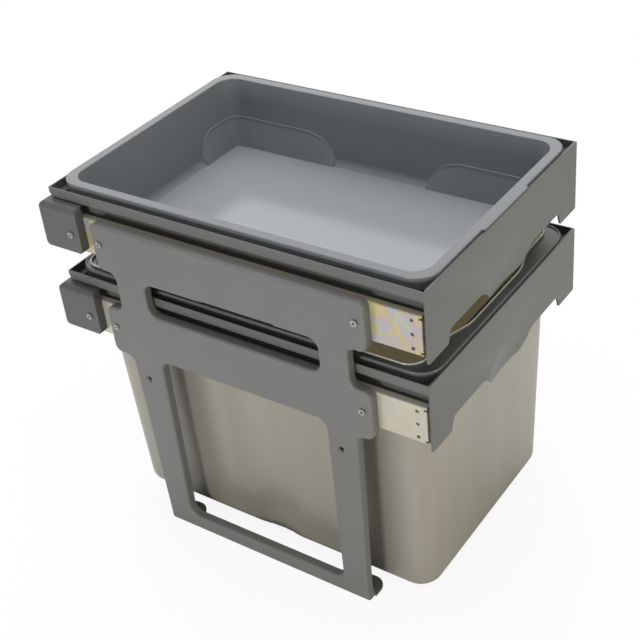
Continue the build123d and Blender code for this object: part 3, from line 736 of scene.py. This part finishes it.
@dataclass
class UpperBin(Bin):
    """Shallow bin with a flat rim, raised corner reliefs inside and a grip tab over the front plate."""

    rim_top: float = 431.0
    rim_round: float = 0.8
    rim_drop: float = 6.0
    mouth_round: float = 1.2
    mouth_turn: float = 160.0
    floor: float = 347.0
    floor_rise: float = 0.6
    step: float = 0.6
    relief_root: float = 0.6
    relief_edge: float = 0.4
    relief_edge_loops: int = 4
    relief_least: float = 0.0004
    relief_height: float = 36.0
    relief_rows: Tuple[float, ...] = (0.0, 0.03, 0.07, 0.12, 0.18, 0.25, 1.0)
    relief_steps: Tuple[int, int, int, int] = (24, 10, 18, 6)
    relief_long: float = 155.0
    relief_short: float = 72.0
    relief_curve_long: float = 46.0
    relief_curve_short: float = 30.0
    tab_half: float = 46.5
    tab_reach: float = 3.0
    tab_corner: float = 2.9
    tab_round: float = 0.5
    tab_sink: float = 0.01
    tab_cap: float = 0.05

    def build(self) -> None:
        """Makes the shell, the four reliefs and the tab, and replaces the frame's node."""
        grid = RingGrid(side_steps=(48,))
        top, bend, edge = self.rim_top, self.mouth_round, self.rim_round
        under = top - self.rim_thickness
        mouth = self.wall_top.inset(self.wall).inset(-bend)
        rings = self.wall_rings(self.wall, self.floor, self.bottom_radius, top - bend)
        rings += mouth.at(top - bend).edge(bend, self.mouth_turn, UPWARDS)
        rings += self.rim.inset(edge).at(top - edge).edge(edge, UPWARDS, OUTWARDS)
        rings += [self.rim.at(top - self.rim_drop), self.rim.at(self.skirt_foot)]
        rings += [self.rim.inset(self.skirt / 2).at(self.skirt_bottom)]
        rings += [self.rim.inset(self.skirt).at(self.skirt_foot), self.rim.inset(self.skirt).at(under)]
        rings += [self.wall_top.at(under)]
        rings += self.wall_rings(0, self.floor - self.wall, self.bottom_radius + self.wall,
                                 under - self.rim_thickness)[::-1]
        loops = crisp(grid.loops(rings))
        shell = closed_loops("upper_bin_shell", loops)
        for piece in (shell, self.tab()):
            self.place(piece, self.finish)
        for end in (-1, 1):
            for side in Side:
                self.relief(end, side)
        # The wall and floor slots take lighter copies of the rim plastic: painted light.
        for finish in (BIN_WALL_LIT, BIN_FLOOR_LIT):
            shell.data.materials.append(finish.material())
        self.paint(shell, loops[:, 0, 2], loops.shape[1])
        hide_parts(self.name)

    def paint(self, shell: bpy.types.Object, heights: np.ndarray, count: int) -> None:
        """Sets which finish each face shows: outside, inner wall or floor; the inner wall and floor finishes
        are lighter copies of the rim plastic, painted light.

        Args:
            shell: The bin's shell.
            heights: Heights of its loops, from the floor up the inner wall and down the outside.
            count: Points in each loop.
        """
        inner = int(np.argmax(heights > self.rim_top - 2 * self.rim_thickness))
        rows = np.full(len(shell.data.polygons) // count, UpperFace.OUTSIDE, dtype=np.int32)
        # Flat floor faces take the lighter floor copy: painted light.
        flat = heights[1:inner + 1] < self.floor + self.floor_rise
        rows[:inner] = np.where(flat, UpperFace.FLOOR, UpperFace.WALL)
        rows[-2] = UpperFace.FLOOR  # the fan in the middle of the floor
        shell.data.polygons.foreach_set("material_index", np.repeat(rows, count))

    def tab(self) -> bpy.types.Object:
        """The grip tab: a thin plate that reaches past the rim at the front.

        Returns:
            The new object.
        """
        front, edge = self.rim.front, self.tab_round
        low, high = self.rim_top - self.rim_thickness, self.rim_top - self.tab_sink
        plate = Ring(front - self.tab_reach, front + self.tab_reach, self.tab_half, self.tab_corner, low)
        face = plate.inset(edge)
        rings = [face.shrunk(self.tab_cap)] + face.at(low + edge).edge(edge, DOWNWARDS, OUTWARDS)
        rings += face.at(high - edge).edge(edge, OUTWARDS, UPWARDS) + [face.shrunk(self.tab_cap).at(high)]
        flipped = RingGrid(corner_steps=6, side_steps=(4,), end_steps=24).loops(rings)[::-1]
        return closed_loops("upper_bin_tab", crisp(flipped))

    def relief(self, end: int, side: Side) -> None:
        """One raised corner relief: a pad that follows both walls of a corner up to an arched edge.

        Along the wall the pad is `relief_height` tall, and falls to nothing at each end on a quarter ellipse,
        h = H sqrt(1 - (d / c)^2). Its face stands `step` inside the wall and turns into it at the top edge.

        Args:
            end: 1 for the front corner, -1 for the rear one.
            side: Side of the corner.
        """
        radius = self.wall_top.corner - self.wall
        reach_long, reach_short = self.relief_long - radius, self.relief_short - radius
        curve_long, curve_short = self.relief_curve_long, self.relief_curve_short
        curve_steps, long_steps, corner_steps, short_steps = self.relief_steps
        quarter = radius * pi / 2
        bend = 1 - np.cos(np.linspace(0, pi / 2, curve_steps))
        first = reach_long - curve_long * bend
        last = reach_short - curve_short * bend
        run = np.concatenate([
            -first,
            np.linspace(-first[-1], 0, long_steps)[1:-1],
            np.linspace(0, quarter, corner_steps),
            quarter + np.linspace(0, last[-1], short_steps)[1:-1],
            quarter + last[::-1],
        ])
        past_long = np.clip((-run - (reach_long - curve_long)) / curve_long, 0, 1)
        past_short = np.clip((run - quarter - (reach_short - curve_short)) / curve_short, 0, 1)
        past = np.maximum(past_long, past_short)
        tall = self.relief_height * np.sqrt(np.clip(1 - past ** 2, self.relief_least, 1))
        loops = self.relief_loops(run, tall, end, side)
        piece = closed_loops(f"upper_bin_relief_{side.word}_{end + 1}", loops)
        self.place(piece, BIN_WALL_LIT)
        # The pad's rounded top edge takes the lighter finish: a painted highlight.
        piece.data.materials.append(BIN_EDGE_HIGHLIGHT.material())
        places = np.arange(len(piece.data.polygons)) % loops.shape[1]
        if end * side.value < 0:  # these loops are turned round, so the places count from the other end
            places = loops.shape[1] - 2 - places
        first = len(self.relief_rows)
        on_painted_highlight = (places >= first) & (places < first + self.relief_edge_loops - 1)
        piece.data.polygons.foreach_set("material_index", on_painted_highlight.astype(np.int32))

    def relief_loops(self, run: np.ndarray, tall: np.ndarray, end: int, side: Side) -> np.ndarray:
        """Loops of a relief, one for each place along the wall.

        Args:
            run: Places along the wall: 0 to a quarter turn is the corner, less is the long wall.
            tall: Height of the pad at each place.
            end: 1 for the front corner, -1 for the rear one.
            side: Side of the corner.

        Returns:
            The loops' points in millimetres.
        """
        tall, run = tall[:, None], run[:, None]
        turn = np.linspace(0, pi / 2, self.relief_edge_loops)
        edge = self.relief_edge
        face = np.array(self.relief_rows) * (tall - 2 * edge)
        rise = np.concatenate([face, tall - edge * (1 - np.sin(turn)), tall, 0 * tall], axis=1)
        height = rise + self.floor
        top_depth = self.step - edge * (1 - np.cos(turn))
        root = np.full(2, -self.relief_root)
        depth = np.concatenate([np.full(face.shape[1], self.step), top_depth, root])
        mouth = self.wall_top.inset(self.wall)
        spread = mouth.half - self.wall_bottom.inset(self.wall).half
        share = (height - self.floor) / (self.rim_top - self.floor)
        low = np.clip(self.floor + self.bottom_radius - height, 0, self.bottom_radius)
        round_inset = self.bottom_radius - np.sqrt(self.bottom_radius ** 2 - low ** 2)
        inset = spread * (1 - share) + round_inset + depth
        radius = mouth.corner
        quarter = radius * pi / 2
        turn = np.clip(run / radius, 0, pi / 2)
        along_x = np.clip(-run, 0, None)
        along_y = np.clip(run - quarter, 0, None)
        corner_x = mouth.front - radius if end > 0 else -(mouth.rear + radius)
        corner_y = mouth.half - radius
        x = corner_x - along_x + (radius - inset) * np.sin(turn)
        y = corner_y - along_y + (radius - inset) * np.cos(turn)
        x = np.where(run < 0, corner_x - along_x, x)
        y = np.where(run > quarter, corner_y - along_y, y)
        y = np.where(run < 0, mouth.half - inset, y)
        x = np.where(run > quarter, corner_x + radius - inset, x)
        grid = np.stack([end * x, side.value * y, height], axis=-1)
        return grid if end * side.value > 0 else grid[:, ::-1]


@dataclass
class LowerBin(Bin):
    """Deep bin with a collar, a raised lip that bulges at the front, and hand grips low in its walls."""

    band: float = 322.5
    bead_top: float = 324.0
    bead: float = 2.5
    lip_highlight_top: float = 326.0
    lip_highlight: float = 1.6
    lip_highlight_foot: float = 0.3
    lip_highlight_flare: float = 0.1
    lip_highlight_ring: Ring = Ring(rear=-218.5, front=213.5, half=144.0, corner=19.0, height=326.0, bulge=10.0)
    collar_round: float = 0.5
    collar: Ring = Ring(rear=-214.0, front=210.4, half=139.0, corner=18.0, height=322.5, bulge=6.6)
    floor: float = 6.0
    grip_x: float = 5.0
    grip_half: float = 35.0
    grip_depth: float = 8.0
    grip_height: float = 77.0

    def build(self) -> None:
        """Makes the shell and replaces the frame's node."""
        marks = (self.grip_x - self.grip_half, self.grip_x + self.grip_half)
        grid = RingGrid(side_steps=(24, 28, 24), side_marks=marks)
        under = self.band - self.rim_thickness
        inner = self.wall_rings(self.wall, self.floor + self.wall, self.bottom_radius - self.wall, under)
        outer = self.wall_rings(0, self.floor, self.bottom_radius, under)[::-1]
        mouth = self.collar.inset(-self.collar_round).at(self.band - self.collar_round)
        rings = [self.collar.at(under)] + mouth.edge(self.collar_round, INWARDS, UPWARDS, steps=3)
        inside, lip_base, bead_base = self.lip_highlight_ring.inset(self.lip_highlight), self.lip_highlight / 2, self.bead / 2
        rings += [inside.inset(-self.lip_highlight_flare).at(self.band), inside.at(self.band + self.lip_highlight_foot)]
        rings += self.lip_highlight_ring.inset(lip_base).at(self.lip_highlight_top - lip_base).edge(
            lip_base, INWARDS, OUTWARDS, steps=BEAD_LOOPS)
        rings += [self.lip_highlight_ring.at(self.band + self.lip_highlight_foot)]
        rings += [self.lip_highlight_ring.inset(-self.lip_highlight_foot).at(self.band), self.rim.inset(self.bead).at(self.band)]
        rings += self.rim.inset(bead_base).at(self.bead_top - bead_base).edge(
            bead_base, INWARDS, OUTWARDS, steps=BEAD_LOOPS)
        rings += [self.rim.at(self.skirt_foot), self.rim.inset(self.skirt / 2).at(self.skirt_bottom)]
        rings += [self.rim.inset(self.skirt).at(self.skirt_foot), self.rim.inset(self.skirt).at(under)]
        rings += [self.wall_top.at(under)]
        loops = [self.pressed(grid.loops(inner), self.wall), crisp(grid.loops(rings)),
                 self.pressed(grid.loops(outer), 0)]
        shell = closed_loops("lower_bin_shell", np.concatenate(loops))
        self.place(shell, self.finish)
        # The inside takes painted shade and glow, the lip a painted highlight.
        for finish in (BIN_INSIDE_SHADE_AND_GLOW, RIM_GREY, LIP_HIGHLIGHT):
            shell.data.materials.append(finish.material())
        self.paint(shell, len(loops[0]), loops[1][:, 0, 2], loops[0].shape[1])
        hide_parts(self.name)

    def paint(self, shell: bpy.types.Object, inner: int, collar: np.ndarray, count: int) -> None:
        """Sets which finish each face shows: outside, inside with painted shade and glow, collar, or lip with
        a painted highlight.

        Args:
            shell: The bin's shell.
            inner: Number of loops inside the bin.
            collar: Heights of the collar's and the rim's loops.
            count: Points in each loop.
        """
        on_lip_highlight = np.minimum(collar[:-1], collar[1:]) > self.lip_highlight_top - self.lip_highlight
        rows = np.full(len(shell.data.polygons) // count, LowerFace.OUTSIDE, dtype=np.int32)
        rows[:inner] = LowerFace.INSIDE
        rows[inner:inner + len(on_lip_highlight)] = np.where(on_lip_highlight, LowerFace.LIP_HIGHLIGHT, LowerFace.COLLAR)
        rows[-2] = LowerFace.INSIDE  # the fan in the middle of the floor
        shell.data.polygons.foreach_set("material_index", np.repeat(rows, count))

    def pressed(self, loops: np.ndarray, amount: float) -> np.ndarray:
        """Presses the hand grips into both long walls.

        At u = (x - grip_x) / grip_half the wall is kept inside its own plane by
        grip_depth * (1 - z / grip_height) * (1 - u * u), where z is counted from the floor.

        Args:
            loops: Points of one side of the wall.
            amount: How far inside the outer wall they lie.

        Returns:
            The moved points.
        """
        u = (loops[..., 0] - self.grip_x) / self.grip_half
        rise = (loops[..., 2] - self.floor) / self.grip_height
        depth = self.grip_depth * np.clip(1 - rise, 0, 1) * np.clip(1 - u * u, 0, 1)
        low, high = self.wall_bottom, self.wall_top
        share = (loops[..., 2] - low.height) / (high.height - low.height)
        plane = low.half + (high.half - low.half) * share
        limit = np.where(depth > 0, plane - amount - depth, np.inf)
        loops[..., 1] = np.sign(loops[..., 1]) * np.minimum(np.abs(loops[..., 1]), limit)
        return loops


# ---- The frame's own pieces ----

WELD_GAP = 0.002
EDGE_TURN = radians(34)
EDGE_SEGMENTS = 2
EDGE_WIDTHS = {POWDER_COAT.name: 0.35, COVER_SHADED.name: 0.5, MOULDING.name: 0.5}
SLIDE_ZINC = {Tier.UPPER: ZINC, Tier.LOWER: ZINC_PALE}


def weld_group() -> bpy.types.NodeTree:
    """Geometry nodes that join the frame mesh's loose triangles and keep edges over EDGE_TURN sharp.

    Returns:
        The node group.
    """
    group = bpy.data.node_groups.get("weld and sharpen")
    if group:
        return group
    group = bpy.data.node_groups.new("weld and sharpen", "GeometryNodeTree")
    group.interface.new_socket("Geometry", in_out="INPUT", socket_type="NodeSocketGeometry")
    group.interface.new_socket("Geometry", in_out="OUTPUT", socket_type="NodeSocketGeometry")
    start = group.nodes.new("NodeGroupInput")
    end = group.nodes.new("NodeGroupOutput")
    weld = add_node(group, "GeometryNodeMergeByDistance")
    weld.inputs["Distance"].default_value = WELD_GAP * MM
    smooth = add_node(group, "GeometryNodeSetShadeSmooth")
    angle = add_node(group, "GeometryNodeInputMeshEdgeAngle")
    sharp = add_node(group, "FunctionNodeCompare", operation="GREATER_THAN")
    sharp.inputs[1].default_value = EDGE_TURN
    normal = add_node(group, "GeometryNodeSetMeshNormal", mode="SHARPNESS")
    normal.inputs["Remove Custom"].default_value = True
    links = group.links
    links.new(start.outputs[0], weld.inputs["Geometry"])
    links.new(weld.outputs[0], smooth.inputs["Geometry"])
    links.new(smooth.outputs[0], normal.inputs["Mesh"])
    links.new(angle.outputs["Unsigned Angle"], sharp.inputs[0])
    links.new(sharp.outputs[0], normal.inputs["Edge Sharpness"])
    links.new(normal.outputs[0], end.inputs[0])
    return group


def soften(node: bpy.types.Object, width: float) -> None:
    """Rounds a frame node's edges a little, as sheet and mouldings have them, with modifiers only.

    Args:
        node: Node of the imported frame.
        width: Width of the rounding in millimetres.
    """
    weld = node.modifiers.new("weld", "NODES")
    weld.node_group = weld_group()
    bevel = node.modifiers.new("edges", "BEVEL")
    bevel.width = width * MM
    bevel.segments = EDGE_SEGMENTS
    bevel.limit_method = "ANGLE"
    bevel.angle_limit = EDGE_TURN
    bevel.harden_normals = True


@dataclass
class Dressing:
    """A sub-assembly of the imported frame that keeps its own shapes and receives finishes."""

    nodes: Dict[str, Finish]

    def dress(self, frame: Dict[str, object]) -> None:
        """Gives each node its finish.
        """
        for name, finish in self.nodes.items():
            node = frame["nodes"][name]
            node.data.materials.clear()
            node.data.materials.append(finish.material())
            if finish.name in EDGE_WIDTHS:
                soften(node, EDGE_WIDTHS[finish.name])
            log.info("%s: %s", name, finish.name)


def carcass() -> Dressing:
    """The fixed pieces: stands, rear covers, cabinet rails, screws and buffers.

    Returns:
        The sub-assembly.
    """
    nodes: Dict[str, Finish] = {"stand_screws": SCREW, "cover_screws": SCREW, "rear_buffers": RUBBER}
    for side in Side:
        nodes[f"{side.word}_stand"] = MOULDING
        for tier in Tier:
            nodes[f"{tier.value}_{side.word}_rear_cover"] = COVER_SHADED
            nodes[f"{tier.value}_{side.word}_cabinet_rail"] = SLIDE_ZINC[tier]
    return Dressing(nodes)


def drawer(tier: Tier) -> Dressing:
    """The moving pieces of one drawer, without its bin.

    Args:
        tier: Which drawer.

    Returns:
        The sub-assembly.
    """
    word = tier.value
    sheets = ("rear_rail", "front_rail", "front_plate")
    nodes: Dict[str, Finish] = {f"{word}_{part}": POWDER_COAT for part in sheets}
    nodes |= {f"{word}_rail_rivets": SCREW, f"{word}_outer_balls": BALL, f"{word}_inner_balls": BALL}
    for side in Side:
        nodes[f"{word}_{side.word}_side_rail"] = POWDER_COAT
        for part in ("middle_rail", "drawer_rail"):
            nodes[f"{word}_{side.word}_{part}"] = SLIDE_ZINC[tier]
        for part in ("outer_cage", "inner_cage"):
            nodes[f"{word}_{side.word}_{part}"] = CAGE
    return Dressing(nodes)


# ---- Studio ----


@dataclass(frozen=True)
class Lamp:
    """A square area light: where it stands and what it faces, in metres, its side and its power in watts."""

    name: str
    place: Point
    aim: Point
    size: float
    power: float
    colour: Colour = WHITE

    def build(self) -> None:
        """Adds the light to the scene."""
        data = bpy.data.lights.new(self.name, "AREA")
        data.size = self.size
        data.energy = self.power
        data.color = self.colour
        lamp = bpy.data.objects.new(self.name, data)
        lamp.location = self.place
        lamp.rotation_euler = (Vector(self.aim) - Vector(self.place)).to_track_quat("-Z", "Y").to_euler()
        bpy.context.scene.collection.objects.link(lamp)


@dataclass
class Studio:
    """Pale floor, soft lights, white surroundings and the camera at the photo's place."""

    azimuth: float = 37.48
    elevation: float = 34.61
    roll: float = -6.31
    lens: float = 71.78
    eye: Point = (0.7312, -0.9618, 1.0587)
    floor_size: float = 8.0
    floor_colour: Colour = (0.95, 0.95, 0.95)
    floor_roughness: float = 0.9
    floor_glow: float = 0.9
    surround: float = 0.25
    lamps: Tuple[Lamp, ...] = (
        Lamp("overhead", (-0.1, 0.1, 2.1), (0, 0, 0.3), size=2.2, power=31.0),
        Lamp("near", (0.0, -2.3, 0.38), (0, 0, 0.25), size=0.5, power=22.0),
        Lamp("front", (2.5, -0.2, 0.5), (0.1, 0, 0.3), size=1.1, power=20.0, colour=(1.0, 0.94, 0.75)),
        Lamp("back", (-1.2, 1.55, 1.5), (0, 0, 0.35), size=2.6, power=28.0),
    )

    def build(self) -> None:
        """Makes everything around the object."""
        self.camera()
        self.floor()
        for lamp in self.lamps:
            lamp.build()
        self.world()
        bpy.context.scene.view_settings.view_transform = "Standard"

    def camera(self) -> None:
        """Sets the camera from its azimuth, elevation and roll."""
        a, e, r = radians(self.azimuth), radians(self.elevation), radians(self.roll)
        back = Vector((sin(a) * cos(e), -cos(a) * cos(e), sin(e)))
        right = (-back).cross(Vector((0, 0, 1))).normalized()
        up = right.cross(-back)
        turned_right = cos(r) * right + sin(r) * up
        turned_up = cos(r) * up - sin(r) * right
        data = bpy.data.cameras.new("camera")
        data.lens = self.lens
        camera = bpy.data.objects.new("camera", data)
        turn = Matrix((turned_right, turned_up, back)).transposed().to_4x4()
        camera.matrix_world = Matrix.Translation(self.eye) @ turn
        bpy.context.scene.collection.objects.link(camera)
        bpy.context.scene.camera = camera

    def floor(self) -> None:
        """Makes the floor: a pale plane, mostly plain white to the camera, that keeps a faint shadow."""
        reach = self.floor_size / 2
        corners = [(-reach, -reach, 0), (reach, -reach, 0), (reach, reach, 0), (-reach, reach, 0)]
        mesh = bpy.data.meshes.new("floor")
        mesh.from_pydata(corners, [], [(0, 1, 2, 3)])
        floor = bpy.data.objects.new("floor", mesh)
        bpy.context.scene.collection.objects.link(floor)
        material = bpy.data.materials.new("studio floor")
        material.use_nodes = True
        tree = material.node_tree
        shader = tree.nodes["Principled BSDF"]
        shader.inputs["Base Color"].default_value = (*self.floor_colour, 1.0)
        shader.inputs["Roughness"].default_value = self.floor_roughness
        glow = add_node(tree, "ShaderNodeEmission")
        glow.inputs["Strength"].default_value = 1.0
        path = add_node(tree, "ShaderNodeLightPath")
        share = add_node(tree, "ShaderNodeMath", operation="MULTIPLY")
        share.inputs[1].default_value = self.floor_glow
        mix = add_node(tree, "ShaderNodeMixShader")
        tree.links.new(path.outputs["Is Camera Ray"], share.inputs[0])
        tree.links.new(share.outputs[0], mix.inputs[0])
        tree.links.new(shader.outputs[0], mix.inputs[1])
        tree.links.new(glow.outputs[0], mix.inputs[2])
        tree.links.new(mix.outputs[0], tree.nodes["Material Output"].inputs["Surface"])
        floor.data.materials.append(material)

    def world(self) -> None:
        """Makes the surroundings: soft white light, seen as plain white."""
        world = bpy.data.worlds.new("studio")
        world.use_nodes = True
        bpy.context.scene.world = world
        tree = world.node_tree
        tree.nodes.clear()
        output = add_node(tree, "ShaderNodeOutputWorld")
        soft = add_node(tree, "ShaderNodeBackground")
        soft.inputs["Color"].default_value = (*WHITE, 1.0)
        soft.inputs["Strength"].default_value = self.surround
        seen = add_node(tree, "ShaderNodeBackground")
        seen.inputs["Color"].default_value = (*WHITE, 1.0)
        path = add_node(tree, "ShaderNodeLightPath")
        mix = add_node(tree, "ShaderNodeMixShader")
        tree.links.new(path.outputs["Is Camera Ray"], mix.inputs[0])
        tree.links.new(soft.outputs[0], mix.inputs[1])
        tree.links.new(seen.outputs[0], mix.inputs[2])
        tree.links.new(mix.outputs[0], output.inputs["Surface"])


def upper_bin() -> UpperBin:
    """The upper bin, sized from its rim in millimetres.

    Returns:
        The bin, not yet built.
    """
    rim = Ring(rear=-224.5, front=232.5, half=150.0, corner=25.0, height=431.0)
    overhang, draft = 8.5, 4.0
    wall_top = replace(rim.inset(overhang), corner=22.5)
    return UpperBin(
        name="upper_bin", body="upper_bin", slot="upper_bin_grey", finish=BIN_GREY, rim=rim,
        wall_top=wall_top, wall_bottom=wall_top.inset(draft).at(347.0), wall=2.5, bottom_radius=9.0,
    )


def lower_bin() -> LowerBin:
    """The lower bin, sized in millimetres. Its tub tapers more at the rear than at the front and sides.

    Returns:
        The bin, not yet built.
    """
    return LowerBin(
        name="lower_bin", body="lower_bin", slot="lower_bin_metallic", finish=BIN_SATIN,
        rim=Ring(rear=-224.5, front=232.5, half=150.0, corner=25.0, height=324.0),
        wall_top=Ring(rear=-216.5, front=219.5, half=141.5, corner=30.0, height=320.5),
        wall_bottom=Ring(rear=-202.5, front=207.5, half=135.5, corner=26.0, height=6.0),
        wall=2.5, bottom_radius=12.0, skirt_bottom=311.5,
    )


def main() -> None:
    """Loads the frame, dresses it, builds the bins and the studio, and logs its progress."""
    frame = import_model()
    log.info("frame loaded with %d nodes", len(frame["nodes"]))
    carcass().dress(frame)
    for tier in Tier:
        drawer(tier).dress(frame)
    upper_bin().build()
    lower_bin().build()
    Studio().build()
    log.info("studio built")


if __name__ == "__main__":
    logging.basicConfig(level=logging.INFO)
    main()
